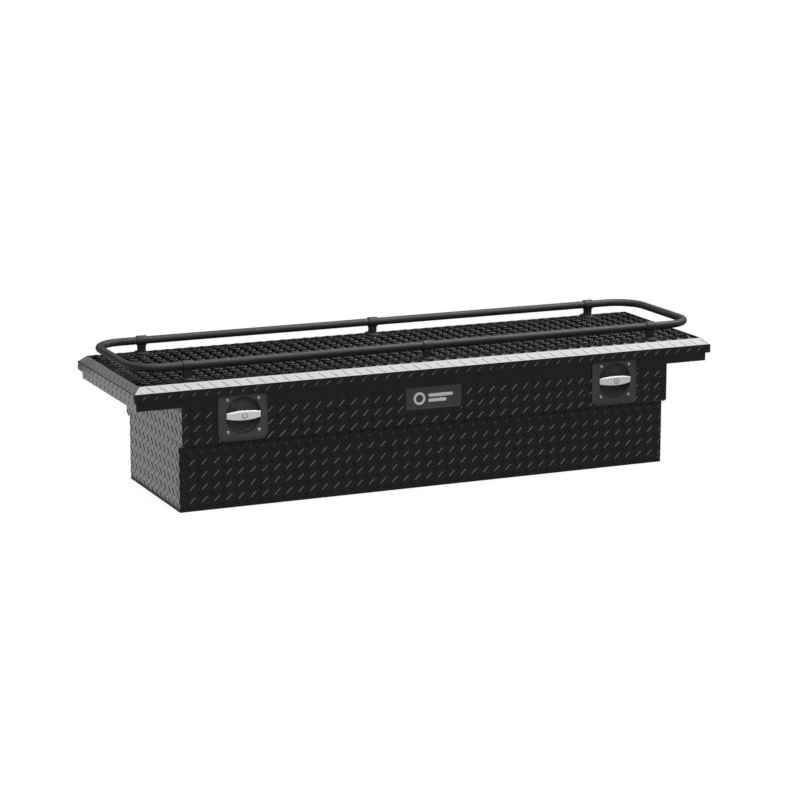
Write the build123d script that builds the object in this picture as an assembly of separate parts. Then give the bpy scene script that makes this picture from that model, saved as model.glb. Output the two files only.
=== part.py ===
from build123d import *
from math import atan2, cos, degrees, hypot, radians, sin
import os

# Low-profile crossover tool box for the bed of a pickup truck, in folded aluminium tread plate.
# Millimetres. +X runs along the box to its right end, +Y to the hinge at the rear, +Z up.
# The origin is the centre of the tub floor's underside.

# Sheet and overall form
sheet = 1.6
bend_radius = 1.6
lid_length = 1770.0
lid_width = 508.0
lid_top_z = 366.0

# Lid edge: a bevel all round, then an upright skirt
bevel_run = 21.0
bevel_drop = 18.0
skirt_drop = 24.0

# Body rim and the step in its long walls
rim_end_gap = 9.0
rim_side_gap = 12.5
saddle_overhang = 128.5
rim_strip = 25.0
rim_lip = 22.0
step_fall = 7.0
step_setback = 27.5
floor_flange = 18.0

# Lid liner, foam core and weather seal
liner_sheet = 1.2
liner_lift = 0.3
liner_edge_gap = 0.6
core_gap = 0.2
seal_height = 5.0
seal_width = 12.0
seal_gap = 0.3
seal_inset = 5.0
seal_corner_radius = 15.0
seal_round = 3.0

# Holes in the saddle floors for the bolts that clamp the box to the bed rails
saddle_hole_radius = 4.5
saddle_hole_spacing = 300.0
saddle_hole_inset = 42.5

# Continuous hinge along the rear
hinge_end_inset = 26.0
hinge_knuckles = 34
hinge_leaf = 1.5
hinge_leaf_width = 20.0
knuckle_radius = 4.0
knuckle_end_gap = 0.4
pin_radius = 2.5
pin_clearance = 0.05
hinge_drop = 2.0

# Rivets
rivet_radius = 2.4
rivet_head_radius = 4.6
rivet_head_height = 1.8
rivet_tail_length = 2.4
rivet_clearance = 0.05
hinge_rivet_pitch = 100.0
hinge_rivet_end_room = 40.0
rivet_edge = 9.0

# Cargo rail: one loop of tube on six posts
rail_radius = 11.0
rail_wall = 2.0
rail_end_inset = 24.0
rail_side_inset = 58.7
rail_corner_radius = 85.0
rail_height = 39.2
rail_post_end_inset = 171.2
rail_fit = 0.05
splice_length = 60.0
splice_wall = 1.5
collar_wall = 3.2
collar_length = 28.0
neck_width = 22.0
neck_top_width = 26.0
neck_depth = 16.0
foot_length = 62.0
foot_width = 34.0
foot_thickness = 6.0
foot_round = 2.0
foot_bolt_spacing = 42.0
foot_bolt_radius = 3.0
foot_bolt_head_radius = 5.5
foot_bolt_head_height = 3.0
foot_bolt_grip = 12.0
set_screw_radius = 2.5
set_screw_proud = 0.8

# Lock housings in the front wall
lock_end_inset = 175.0
housing_tuck = 13.0
housing_step_gap = 3.0
housing_margin = 26.5
housing_corner = 22.0
housing_thickness = 6.0
housing_shoulder = 9.0
housing_shoulder_drop = 4.0
dish_radius = 52.0
dish_wall = 2.0
dish_depth = 22.0
dish_floor = 2.5
dish_round = 4.0
dish_lip_round = 1.2
dish_gap = 0.4
boss_radius = 13.0
boss_length = 10.0
gasket_thickness = 1.5
gasket_inset = 3.0
lock_screw_gap = 9.64
lock_screw_radius = 2.3
lock_screw_head_radius = 4.5
lock_screw_head_height = 2.6
lock_screw_socket = 1.5
nut_across_flats = 8.0
nut_thickness = 4.0
screw_clearance = 0.1

# Turning handles, key plugs and latch cams
handle_end_gap = 2.5
handle_end_height = 16.0
handle_middle_height = 25.5
handle_end_thickness = 6.0
handle_middle_thickness = 13.0
handle_recess = 3.0
handle_round = 1.8
shank_radius = 8.0
shank_clearance = 0.05
shank_gap = 0.5
stud_radius = 5.0
stud_length = 12.0
plug_radius = 6.0
plug_length = 14.0
plug_clearance = 0.05
plug_proud = 0.5
key_slot_width = 1.4
key_slot_length = 7.5
key_slot_depth = 7.0
hub_washer_radius = 13.0
hub_washer_thickness = 2.0
cam_thickness = 4.0
cam_hub_radius = 12.0
cam_arm_width = 14.0
cam_finger_depth = 8.0
cam_finger_length = 14.0
cam_finger_half_angle = 5.5
cam_nut_across_flats = 17.0
cam_nut_thickness = 7.0

# Strikers under the lid
striker_sheet = 2.5
striker_width = 40.0
striker_flange = 21.0
tongue_drop = 21.8
tongue_half_width = 8.0
tongue_gap = 1.0
tongue_side_gap = 2.0
striker_back_gap = 2.0

# Nameplate
nameplate_length = 170.5
nameplate_height = 63.0
nameplate_thickness = 1.2
nameplate_drop = 1.5
nameplate_corner = 3.0
nameplate_rivet_dx = 73.3
nameplate_rivet_dz = 16.5
nameplate_rivet_radius = 1.6
nameplate_rivet_head_radius = 2.4
nameplate_rivet_head_height = 1.0

# Gas struts: pivots measured from the rim, the saddle floor and the liner, with the lid shut
strut_end_inset = 48.0
strut_foot_inset = 81.5
strut_foot_height = 12.4
strut_head_inset = 66.5
strut_head_drop = 14.3
strut_tube_radius = 9.0
strut_tube_wall = 1.5
strut_rod_shown = 80.66
strut_end_wall = 4.0
strut_rod_radius = 4.0
strut_rod_clearance = 0.06
strut_piston_clearance = 0.08
strut_piston_length = 8.0
strut_piston_start = 12.0
strut_gland_length = 12.0
socket_radius = 8.0
socket_width = 14.0
socket_floor = 1.0
socket_neck_radius = 5.0
socket_neck_length = 20.0
ball_radius = 5.0
ball_clearance = 0.05
ball_shank_radius = 3.0
open_pivot_gap = 0.5
open_pivot_pin_radius = 4.0
bracket_sheet = 2.5
bracket_gap = 5.0
bracket_width = 36.0
bracket_flange = 14.5
bracket_edge = 9.0

# Lock sizes that follow from the dish
lock_screw_pitch = (dish_radius + dish_wall + lock_screw_gap) * 2 ** 0.5
housing_size = lock_screw_pitch + 2 * housing_margin
handle_length = 2 * (dish_radius - handle_end_gap)

# Heights
bevel_z = lid_top_z - bevel_drop
skirt_z = bevel_z - skirt_drop
saddle_z = skirt_z - rim_strip
liner_z = bevel_z + liner_lift
rim_top_z = liner_z - seal_gap - seal_height
rail_z = lid_top_z + rail_height
hinge_z = skirt_z - hinge_drop
lock_z = skirt_z + housing_tuck - housing_size / 2
nameplate_z = lock_z - nameplate_drop
tongue_z = liner_z - tongue_drop
cam_reach = tongue_z + tongue_gap + cam_finger_depth - lock_z
step_outer_z = lock_z - housing_size / 2 - housing_step_gap
step_inner_z = step_outer_z - step_fall
strut_foot_z = saddle_z + sheet + strut_foot_height
strut_head_z = liner_z - strut_head_drop

# Places along X
rim_x = lid_length / 2 - rim_end_gap
tub_x = rim_x - saddle_overhang
hinge_length = 2 * (rim_x - hinge_end_inset)
hinge_rivets = int((hinge_length - 2 * hinge_rivet_end_room) / hinge_rivet_pitch) + 1
rail_half_length = lid_length / 2 - rail_end_inset
rail_post_x = lid_length / 2 - rail_post_end_inset
strut_x = rim_x - strut_end_inset
bracket_x = strut_x + socket_width / 2 + bracket_gap
locks = {"left": lock_end_inset - tub_x, "right": tub_x - lock_end_inset}

# Places along Y
rim_y = lid_width / 2 - rim_side_gap
tub_y = rim_y - step_setback
hinge_y = (rim_y + lid_width / 2 - sheet) / 2
rail_half_width = lid_width / 2 - rail_side_inset
strut_foot_y = strut_foot_inset - rim_y
strut_head_y = rim_y - strut_head_inset
strut_head_rivet_y = [strut_head_y + sy * (bracket_width / 2 - bracket_edge) for sy in (-1, 1)]
gasket_y = -rim_y - gasket_thickness
housing_y = gasket_y - housing_thickness
dish_floor_y = housing_y + dish_depth
boss_end_y = dish_floor_y + dish_floor + boss_length
handle_back_y = housing_y + handle_recess
shank_end_y = boss_end_y + shank_gap
cam_back_y = shank_end_y + cam_thickness
tongue_front_y = cam_back_y + tongue_side_gap
striker_y = cam_back_y + cam_finger_length + striker_back_gap
corners = [(-1, -1), (1, -1), (1, 1), (-1, 1)]


def block(x_range, y_range, z_range):
    """Rectangular block between two values on each axis."""
    size = [high - low for low, high in (x_range, y_range, z_range)]
    middle = [(high + low) / 2 for low, high in (x_range, y_range, z_range)]
    return Pos(*middle) * Box(*size)


def round_x(radius, x_range, y, z):
    """Round bar along X."""
    low, high = x_range
    return Pos((low + high) / 2, y, z) * Rot(0, 90, 0) * Cylinder(radius, high - low)


def round_y(radius, y_range, x, z):
    """Round bar along Y."""
    low, high = y_range
    return Pos(x, (low + high) / 2, z) * Rot(90, 0, 0) * Cylinder(radius, high - low)


def round_z(radius, z_range, x, y):
    """Round bar along Z."""
    low, high = z_range
    return Pos(x, y, (low + high) / 2) * Cylinder(radius, high - low)


def offset_path(points, distance):
    """The path moved sideways to its left, with mitred corners."""
    moved = []
    for i, (u, v) in enumerate(points):
        normals = []
        for a, b in ((i - 1, i), (i, i + 1)):
            if a >= 0 and b < len(points):
                du, dv = points[b][0] - points[a][0], points[b][1] - points[a][1]
                normals.append((-dv / hypot(du, dv), du / hypot(du, dv)))
        first, last = normals[0], normals[-1]
        scale = distance / (1 + first[0] * last[0] + first[1] * last[1])
        moved.append((u + scale * (first[0] + last[0]), v + scale * (first[1] + last[1])))
    return moved


def rounded_face(points, radii):
    """Flat outline with a fillet of the given radius, or none, at each of its points."""
    face = make_face(Polyline(*points, close=True))
    for radius in sorted({radius for radius in radii if radius > 0}):
        wanted = [Vector(*point, 0) for point, own in zip(points, radii) if own == radius]
        corners_here = [v for v in face.vertices() if any((Vector(v) - w).length < 1e-6 for w in wanted)]
        face = fillet(corners_here, radius)
    return face


def bend_radii(points, inner):
    """Radius of each bend of a folded sheet, on its outer face or on the metal's far face."""
    radii = [0.0]
    for before, here, after in zip(points, points[1:], points[2:]):
        cross = (here[0] - before[0]) * (after[1] - here[1]) - (here[1] - before[1]) * (after[0] - here[0])
        inside_of_bend = (cross > 0) == inner
        radii.append(bend_radius if inside_of_bend else bend_radius + sheet)
    return radii + [0.0]


def folded_sheet(points, plane, half_length):
    """Bent sheet: points run along its outer face, with the metal on their left."""
    outline = points + offset_path(points, sheet)[::-1]
    radii = bend_radii(points, False) + bend_radii(points, True)[::-1]
    return extrude(plane * rounded_face(outline, radii), half_length, both=True)


def rivet(direction, x, y, z, grip, radius=rivet_radius, head=rivet_head_radius, height=rivet_head_height):
    """Blind rivet: a domed head on the surface point, pointing outwards along direction."""
    dome = Pos(0, 0, height / 2) * Cylinder(head, height)
    dome = fillet(dome.edges().sort_by(Axis.Z)[-1], height * 0.7)
    tail_radius = radius * 1.3
    shank = Pos(0, 0, -grip / 2) * Cylinder(radius, grip)
    tail = Pos(0, 0, -grip - rivet_tail_length / 2) * Cylinder(tail_radius, rivet_tail_length)
    return Plane(origin=(x, y, z), z_dir=direction) * (dome + shank + tail)


# Body: folded front and rear walls, end panels with their saddle floors, and a floor pan
wall_path = [
    (-rim_y + rim_lip, rim_top_z),
    (-rim_y, rim_top_z),
    (-rim_y, step_outer_z),
    (-tub_y, step_inner_z),
    (-tub_y, 0),
]
wall_inside = offset_path(wall_path, sheet)
hinge_rivet_x = [hinge_rivet_pitch * (i - (hinge_rivets - 1) / 2) for i in range(hinge_rivets)]
body_rivet_z = hinge_z - knuckle_radius - hinge_leaf_width + rivet_edge
lid_rivet_z = hinge_z + knuckle_radius + hinge_leaf_width - rivet_edge
nameplate_rivet_points = [
    (sx * nameplate_rivet_dx, -rim_y, nameplate_z + sz * nameplate_rivet_dz) for sx, sz in corners
]


def lock_screw_points(lock_x):
    """Centres of a lock housing's four screws, on the front wall's face."""
    half = lock_screw_pitch / 2
    return [(lock_x + sx * half, -rim_y, lock_z + sz * half) for sx, sz in corners]


def long_wall():
    """Front wall: full length along the rim, tub length below it, with the step between."""
    wall = folded_sheet(wall_path, Plane.YZ, rim_x)
    for side in (-1, 1):
        under = sorted((side * tub_x, side * (rim_x + 1)))
        wall -= block(under, (-rim_y - 1, 0), (-1, saddle_z))
    return wall


def front_wall():
    """Long wall with the openings for both lock housings and the nameplate's rivet holes."""
    wall = long_wall()
    for lock_x in locks.values():
        wall -= round_y(dish_radius + dish_wall + dish_gap, (-rim_y - 1, -rim_y + 5), lock_x, lock_z)
        for x, y, z in lock_screw_points(lock_x):
            wall -= round_y(lock_screw_radius + screw_clearance, (y - 1, y + 5), x, z)
    for x, y, z in nameplate_rivet_points:
        wall -= round_y(nameplate_rivet_radius + rivet_clearance, (y - 1, y + 5), x, z)
    return wall


def rear_wall():
    """The same wall mirrored, drilled for the hinge rivets."""
    wall = mirror(long_wall(), about=Plane.XZ)
    for x in hinge_rivet_x:
        wall -= round_y(rivet_radius + rivet_clearance, (rim_y - 5, rim_y + 1), x, body_rivet_z)
    return wall


def saddle_holes(side):
    """Centres of the clamping holes in one saddle floor."""
    x = side * (tub_x + saddle_hole_inset)
    return [(x, sy * saddle_hole_spacing / 2) for sy in (-1, 1)]


def end_panel(side):
    """One folded sheet: lip, saddle end, saddle floor and tub end wall."""
    path = [
        (-rim_x + rim_lip, rim_top_z),
        (-rim_x, rim_top_z),
        (-rim_x, saddle_z),
        (-tub_x, saddle_z),
        (-tub_x, 0),
    ]
    panel = folded_sheet(path, Plane.XZ, rim_y)
    half = [wall_path[0]] + wall_inside
    radii = [0.0] + bend_radii(wall_path, True)
    inside = rounded_face(half + [(-y, z) for y, z in half[::-1]], radii + radii[::-1])
    panel &= extrude(Plane.YZ * inside, rim_x + 1, both=True)
    if side > 0:
        panel = mirror(panel, about=Plane.YZ)
    for x, y in saddle_holes(side):
        panel -= round_z(saddle_hole_radius, (saddle_z - 1, saddle_z + 5), x, y)
    return panel


def floor_pan():
    """Flat floor with its four edges turned up inside the walls."""
    x, y = tub_x - sheet, tub_y - sheet
    pan = block((-x, x), (-y, y), (0, floor_flange))
    return pan - block((-x + sheet, x - sheet), (-y + sheet, y - sheet), (sheet, floor_flange + 1))


def weather_seal():
    """Bulb seal that stands on the rim lip, all round."""
    x, y = rim_x - seal_inset, rim_y - seal_inset
    outer = RectangleRounded(2 * x, 2 * y, seal_corner_radius)
    inner_radius = seal_corner_radius - seal_width
    inner = RectangleRounded(2 * (x - seal_width), 2 * (y - seal_width), inner_radius)
    seal = Pos(0, 0, rim_top_z) * extrude(outer - inner, seal_height)
    return fillet(seal.faces().sort_by(Axis.Z)[-1].edges(), min(seal_round, seal_height * 0.55))


# Lid: folded skin, foam core and liner
norm = hypot(bevel_run, bevel_drop)
bevel_out, bevel_up = bevel_drop / norm, bevel_run / norm
lid_edge_radius = bend_radius + sheet


def lid_block(inset, low_z):
    """The lid's outer form with every face moved in by inset, solid down to low_z."""
    side_x, side_y = lid_length / 2 - inset, lid_width / 2 - inset
    shoulder_z = bevel_z - inset * bevel_up / (1 + bevel_out)
    pull = bevel_run + inset * bevel_out / (1 + bevel_up)
    top_z = lid_top_z - inset
    base = Pos(0, 0, shoulder_z) * Rectangle(2 * side_x, 2 * side_y)
    top = Pos(0, 0, top_z) * Rectangle(lid_length - 2 * pull, lid_width - 2 * pull)
    form = loft([base, top], ruled=True) + block((-side_x, side_x), (-side_y, side_y), (low_z, shoulder_z))
    ridges = form.edges().filter_by(lambda e: e.bounding_box().min.Z > shoulder_z - 0.01)
    return fillet(ridges, lid_edge_radius - inset)


def lid_skin():
    """Tread plate top, bevels and skirt, drilled for the rail bolts and the hinge rivets."""
    skin = lid_block(0, skirt_z) - lid_block(sheet, skirt_z - 1)
    for x in hinge_rivet_x:
        skin -= round_y(rivet_radius + rivet_clearance, (lid_width / 2 - 5, lid_width / 2 + 1), x, lid_rivet_z)
    return skin - foot_bolt_holes()


def lid_liner():
    """Flat inner skin of the lid, which closes on the seal."""
    top_z = liner_z + liner_sheet
    edge = (top_z - bevel_z) * bevel_run / bevel_drop + sheet / bevel_out + liner_edge_gap
    x, y = lid_length / 2 - edge, lid_width / 2 - edge
    liner = block((-x, x), (-y, y), (liner_z, top_z))
    for point in lid_bracket_rivet_points():
        liner -= round_z(rivet_radius + rivet_clearance, (liner_z - 1, top_z + 1), *point)
    return liner


def lid_core():
    """Foam that fills the space between skin and liner."""
    low = liner_z + liner_sheet
    core = lid_block(sheet + core_gap, low - 10) - block(
        (-lid_length, lid_length), (-lid_width, lid_width), (low - 20, low)
    )
    for x, y in lid_bracket_rivet_points():
        core -= round_z(rivet_radius * 1.3 + screw_clearance, (low - 1, low + rivet_tail_length + 1), x, y)
    return core - foot_bolt_holes()


# Continuous hinge: leaves riveted to the rear wall and to the inside of the lid's skirt
def hinge_knuckle(index, leaf):
    """One rolled knuckle with the web that joins it to its leaf."""
    pitch = hinge_length / hinge_knuckles
    low = -hinge_length / 2 + index * pitch + knuckle_end_gap / 2
    span = (low, low + pitch - knuckle_end_gap)
    knuckle = round_x(knuckle_radius, span, hinge_y, hinge_z)
    if leaf == "body":
        web_z = (hinge_z - knuckle_radius, hinge_z - knuckle_radius + hinge_leaf)
        knuckle += block(span, (rim_y, hinge_y), web_z)
    else:
        web_z = (hinge_z + knuckle_radius - hinge_leaf, hinge_z + knuckle_radius)
        knuckle += block(span, (hinge_y, lid_width / 2 - sheet), web_z)
    return knuckle - round_x(pin_radius + pin_clearance, span, hinge_y, hinge_z)


def hinge_leaf_plate(leaf):
    """Leaf along the whole hinge with every second knuckle."""
    half = hinge_length / 2
    if leaf == "body":
        top = hinge_z - knuckle_radius + hinge_leaf
        y_range, z_range = (rim_y, rim_y + hinge_leaf), (top - hinge_leaf - hinge_leaf_width, top)
        first, rivet_z = 0, body_rivet_z
    else:
        low = hinge_z + knuckle_radius - hinge_leaf
        inner_y = lid_width / 2 - sheet
        y_range, z_range = (inner_y - hinge_leaf, inner_y), (low, low + hinge_leaf + hinge_leaf_width)
        first, rivet_z = 1, lid_rivet_z
    plate = block((-half, half), y_range, z_range)
    for x in hinge_rivet_x:
        plate -= round_y(rivet_radius + rivet_clearance, (y_range[0] - 1, y_range[1] + 1), x, rivet_z)
    return plate + [hinge_knuckle(index, leaf) for index in range(first, hinge_knuckles, 2)]


def hinge_rivet_row(leaf):
    """Rivets of one leaf, with their heads on the outside."""
    if leaf == "body":
        y, z = rim_y + hinge_leaf, body_rivet_z
    else:
        y, z = lid_width / 2, lid_rivet_z
    grip = sheet + hinge_leaf
    return Compound([rivet((0, 1, 0), x, y, z, grip) for x in hinge_rivet_x])


# Cargo rail
post_places = {
    f"rail_post_{row}_{place}": (sx * rail_post_x, sy * rail_half_width)
    for row, sy in (("front", -1), ("rear", 1))
    for place, sx in (("left", -1), ("middle", 0), ("right", 1))
}


def foot_bolt_points(x, y):
    """Centres of the two bolts in a post's foot."""
    return [(x, y + sy * foot_bolt_spacing / 2) for sy in (-1, 1)]


def foot_bolt_holes():
    """Holes in the lid for every foot bolt."""
    span = (lid_top_z - foot_bolt_grip - 0.5, lid_top_z + 1)
    radius = foot_bolt_radius + screw_clearance
    points = [p for place in post_places.values() for p in foot_bolt_points(*place)]
    return Compound([round_z(radius, span, *point) for point in points])


def rail_tube(side):
    """Half of the rail loop: two bends and three straight runs, open at its two ends."""
    reach = side * rail_half_length
    path = FilletPolyline(
        (0, -rail_half_width, rail_z),
        (reach, -rail_half_width, rail_z),
        (reach, rail_half_width, rail_z),
        (0, rail_half_width, rail_z),
        radius=rail_corner_radius,
    )
    ring = Plane(origin=(0, -rail_half_width, rail_z), z_dir=(side, 0, 0)) * (
        Circle(rail_radius) - Circle(rail_radius - rail_wall)
    )
    return sweep(ring, path=path)


def rail_splices():
    """Sleeves inside the tubes where the two halves meet, under the middle collars."""
    outer = rail_radius - rail_wall - rail_fit
    span = (-splice_length / 2, splice_length / 2)
    sleeves = []
    for side in (-1, 1):
        y = side * rail_half_width
        sleeves.append(round_x(outer, span, y, rail_z) - round_x(outer - splice_wall, span, y, rail_z))
    return Compound(sleeves)


def rail_post(x, y):
    """Cast post: foot, flared neck and the collar round the tube."""
    collar_radius = rail_radius + collar_wall
    foot = Pos(0, 0, foot_thickness / 2) * extrude(
        RectangleRounded(foot_width, foot_length, foot_width * 0.45), foot_thickness / 2, both=True
    )
    foot = fillet(foot.faces().sort_by(Axis.Z)[-1].edges(), foot_round)
    for sy in (-1, 1):
        foot -= Pos(0, sy * foot_bolt_spacing / 2, 0) * Cylinder(foot_bolt_radius + screw_clearance, 40)
    neck_low = Pos(0, 0, foot_thickness - 1) * RectangleRounded(neck_width, neck_depth, 4)
    neck_high = Pos(0, 0, rail_height) * RectangleRounded(neck_top_width, neck_depth, 4)
    neck = loft([neck_low, neck_high])
    half = collar_length / 2
    collar = round_x(collar_radius, (-half, half), 0, rail_height)
    collar = fillet(collar.edges().filter_by(GeomType.CIRCLE), 1.0)
    post = foot + neck + collar
    post -= round_x(rail_radius + rail_fit, (-half - 1, half + 1), 0, rail_height)
    toward_middle = -1 if y > 0 else 1
    hole_span = sorted((toward_middle * rail_radius, toward_middle * (collar_radius + 1)))
    post -= round_y(set_screw_radius, hole_span, 0, rail_height)
    return Pos(x, y, lid_top_z) * post


def foot_bolts():
    """Button-head bolts that hold the posts to the lid."""
    bolts = []
    seat_z = lid_top_z + foot_thickness
    for place in post_places.values():
        for x, y in foot_bolt_points(*place):
            head = round_z(foot_bolt_head_radius, (seat_z, seat_z + foot_bolt_head_height), x, y)
            head = fillet(head.edges().sort_by(Axis.Z)[-1], foot_bolt_head_height * 0.7)
            shank = round_z(foot_bolt_radius, (lid_top_z - foot_bolt_grip, seat_z), x, y)
            socket = Pos(x, y, seat_z + foot_bolt_head_height) * extrude(
                RegularPolygon(1.8, 6), foot_bolt_head_height * 0.6, both=True
            )
            bolts.append(head + shank - socket)
    return Compound(bolts)


def set_screws():
    """Small screws on the inner side of each collar, which grip the tube."""
    screws = []
    outer = rail_radius + collar_wall + set_screw_proud
    for x, y in post_places.values():
        toward_middle = -1 if y > 0 else 1
        span = sorted((y + toward_middle * (rail_radius + rail_fit), y + toward_middle * outer))
        screw = round_y(set_screw_radius - 0.02, span, x, rail_z)
        end = Plane(origin=(x, y + toward_middle * outer, rail_z), z_dir=(0, 1, 0))
        screws.append(screw - end * extrude(RegularPolygon(1.3, 6), 1.5, both=True))
    return Compound(screws)


# Lock housings, gaskets and their screws
def lock_housing(x):
    """Square housing with sloping shoulders round a deep dish, and the handle's bearing boss."""
    flat = housing_thickness - housing_shoulder_drop
    small = housing_size - 2 * housing_shoulder
    outline = RectangleRounded(housing_size, housing_size, housing_corner)
    raised = RectangleRounded(small, small, housing_corner - housing_shoulder)
    plate = extrude(outline, flat) + loft([Pos(0, 0, flat) * outline, Pos(0, 0, housing_thickness) * raised])
    housing = Plane(origin=(x, gasket_y, lock_z), x_dir=(1, 0, 0), z_dir=(0, -1, 0)) * plate
    housing += round_y(dish_radius + dish_wall, (gasket_y, dish_floor_y + dish_floor), x, lock_z)
    housing += round_y(boss_radius, (dish_floor_y, boss_end_y), x, lock_z)
    dish = round_y(dish_radius, (housing_y - 1, dish_floor_y), x, lock_z)
    housing -= fillet(dish.edges().sort_by(Axis.Y)[-1], dish_round)
    housing -= round_y(shank_radius + shank_clearance, (dish_floor_y - 1, boss_end_y + 1), x, lock_z)
    for sx, sy, sz in lock_screw_points(x):
        housing -= round_y(lock_screw_radius + screw_clearance, (housing_y - 1, gasket_y + 1), sx, sz)
    return housing


def lock_gasket(x):
    """Rubber gasket between the housing and the front wall."""
    size = housing_size - 2 * gasket_inset
    plane = Plane(origin=(x, gasket_y, lock_z), x_dir=(1, 0, 0), z_dir=(0, 1, 0))
    gasket = plane * extrude(RectangleRounded(size, size, housing_corner - gasket_inset), gasket_thickness)
    gasket -= round_y(dish_radius + dish_wall + dish_gap, (gasket_y - 1, 0), x, lock_z)
    for sx, sy, sz in lock_screw_points(x):
        gasket -= round_y(lock_screw_radius + screw_clearance, (gasket_y - 1, 0), sx, sz)
    return gasket


def lock_screws():
    """Button-head screws through both housings, gaskets and the front wall."""
    screws = []
    end_y = -rim_y + sheet + nut_thickness + 1
    for lock_x in locks.values():
        for x, y, z in lock_screw_points(lock_x):
            head = round_y(lock_screw_head_radius, (housing_y - lock_screw_head_height, housing_y), x, z)
            head = fillet(head.edges().sort_by(Axis.Y)[0], lock_screw_head_height * 0.7)
            shank = round_y(lock_screw_radius, (housing_y, end_y), x, z)
            socket = Plane(origin=(x, housing_y - lock_screw_head_height, z), z_dir=(0, 1, 0)) * extrude(
                RegularPolygon(lock_screw_socket, 6), lock_screw_head_height * 0.6, both=True
            )
            screws.append(head + shank - socket)
    return Compound(screws)


def hex_nut(across_flats, thickness, bore, x, y, z):
    """Hexagon nut whose near face is at y, with its axis along Y."""
    nut = extrude(RegularPolygon(across_flats / 2, 6, major_radius=False), thickness) - Cylinder(bore, 99)
    return Plane(origin=(x, y, z), z_dir=(0, 1, 0)) * nut


def lock_nuts():
    """Nuts on the lock screws, behind the front wall."""
    bore = lock_screw_radius + rivet_clearance
    y_seat = -rim_y + sheet
    points = [point for lock_x in locks.values() for point in lock_screw_points(lock_x)]
    return Compound([hex_nut(nut_across_flats, nut_thickness, bore, x, y_seat, z) for x, y, z in points])


# Turning handles with their key plugs, hub washers, latch cams and nuts
def turning_handle(x):
    """Bowed bar on a shank that runs through the housing's boss, with the plug's bore in its middle."""
    half, end, middle = handle_length / 2, handle_end_height / 2, handle_middle_height / 2
    front = Line((-half, -end), (-half, end)) + ThreePointArc((-half, end), (0, middle), (half, end))
    front += Line((half, end), (half, -end)) + ThreePointArc((half, -end), (0, -middle), (-half, -end))
    deep = handle_middle_thickness
    bar = Plane(origin=(x, handle_back_y, lock_z), x_dir=(1, 0, 0), z_dir=(0, -1, 0)) * extrude(
        make_face(front), deep
    )
    arc_y = handle_back_y - handle_end_thickness
    side = Line((-half, handle_back_y), (half, handle_back_y)) + Line((half, handle_back_y), (half, arc_y))
    side += ThreePointArc((half, arc_y), (0, handle_back_y - deep), (-half, arc_y))
    side += Line((-half, arc_y), (-half, handle_back_y))
    bar &= Pos(x, 0, lock_z) * extrude(make_face(side), handle_middle_height, both=True)
    bar = fillet(bar.edges(), handle_round)
    handle = bar + round_y(shank_radius, (handle_back_y - 1, shank_end_y), x, lock_z)
    handle += round_y(stud_radius, (shank_end_y, shank_end_y + stud_length), x, lock_z)
    plug_end_y = handle_back_y - deep - plug_proud + plug_length
    return handle - round_y(plug_radius + plug_clearance, (handle_back_y - 99, plug_end_y), x, lock_z)


def lock_plug(x):
    """Key plug in the middle of the handle, with an upright key slot."""
    front_y = handle_back_y - handle_middle_thickness - plug_proud
    plug = round_y(plug_radius, (front_y, front_y + plug_length - plug_clearance), x, lock_z)
    plug = chamfer(plug.edges().sort_by(Axis.Y)[0], 0.4)
    half_width, half_length = key_slot_width / 2, key_slot_length / 2
    return plug - block(
        (x - half_width, x + half_width),
        (front_y - 1, front_y + key_slot_depth),
        (lock_z - half_length, lock_z + half_length),
    )


def hub_washer(x):
    """Stainless washer on the dish floor, round the shank."""
    span = (dish_floor_y - hub_washer_thickness, dish_floor_y)
    washer = round_y(hub_washer_radius, span, x, lock_z)
    washer = chamfer(washer.edges().sort_by(Axis.Y)[0], hub_washer_thickness * 0.4)
    return washer - round_y(shank_radius + shank_clearance, (span[0] - 1, span[1] + 1), x, lock_z)


def latch_cam(x):
    """Cam arm that points to the right when released, with a finger turned back at its tip."""
    span = (shank_end_y, cam_back_y)
    inner = cam_reach - cam_finger_depth
    half = cam_arm_width / 2
    arm = block((x, x + inner + cam_finger_depth / 2), span, (lock_z - half, lock_z + half))
    cam = round_y(cam_hub_radius, span, x, lock_z) + arm
    angle = radians(cam_finger_half_angle)
    sector = (
        Line((inner * cos(angle), -inner * sin(angle)), (cam_reach * cos(angle), -cam_reach * sin(angle)))
        + ThreePointArc(
            (cam_reach * cos(angle), -cam_reach * sin(angle)),
            (cam_reach, 0),
            (cam_reach * cos(angle), cam_reach * sin(angle)),
        )
        + Line((cam_reach * cos(angle), cam_reach * sin(angle)), (inner * cos(angle), inner * sin(angle)))
        + ThreePointArc(
            (inner * cos(angle), inner * sin(angle)), (inner, 0), (inner * cos(angle), -inner * sin(angle))
        )
    )
    finger = Plane(origin=(x, cam_back_y + cam_finger_length, lock_z), x_dir=(1, 0, 0), z_dir=(0, -1, 0)) * (
        extrude(make_face(sector), cam_finger_length + cam_thickness)
    )
    return cam + finger - round_y(stud_radius + rivet_clearance, (span[0] - 1, span[1] + 1), x, lock_z)


def cam_nut(x):
    """Nut that holds the cam on the handle's stud."""
    return hex_nut(cam_nut_across_flats, cam_nut_thickness, stud_radius + rivet_clearance, x, cam_back_y, lock_z)


# Strikers and strut brackets under the lid
def bracket_rivet_x(side):
    """X of the rivets in an upper strut bracket's flange."""
    return side * (bracket_x + bracket_sheet + bracket_flange / 2)


def striker_rivet_points():
    """Rivet centres of both strikers' flanges."""
    y = striker_y + striker_sheet + striker_flange / 2
    offset = striker_width / 2 - bracket_edge
    return [(lock_x + sx * offset, y) for lock_x in locks.values() for sx in (-1, 1)]


def lid_bracket_rivet_points():
    """Rivet centres of everything that hangs from the liner."""
    struts = [(bracket_rivet_x(side), y) for side in (-1, 1) for y in strut_head_rivet_y]
    return striker_rivet_points() + struts


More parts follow.
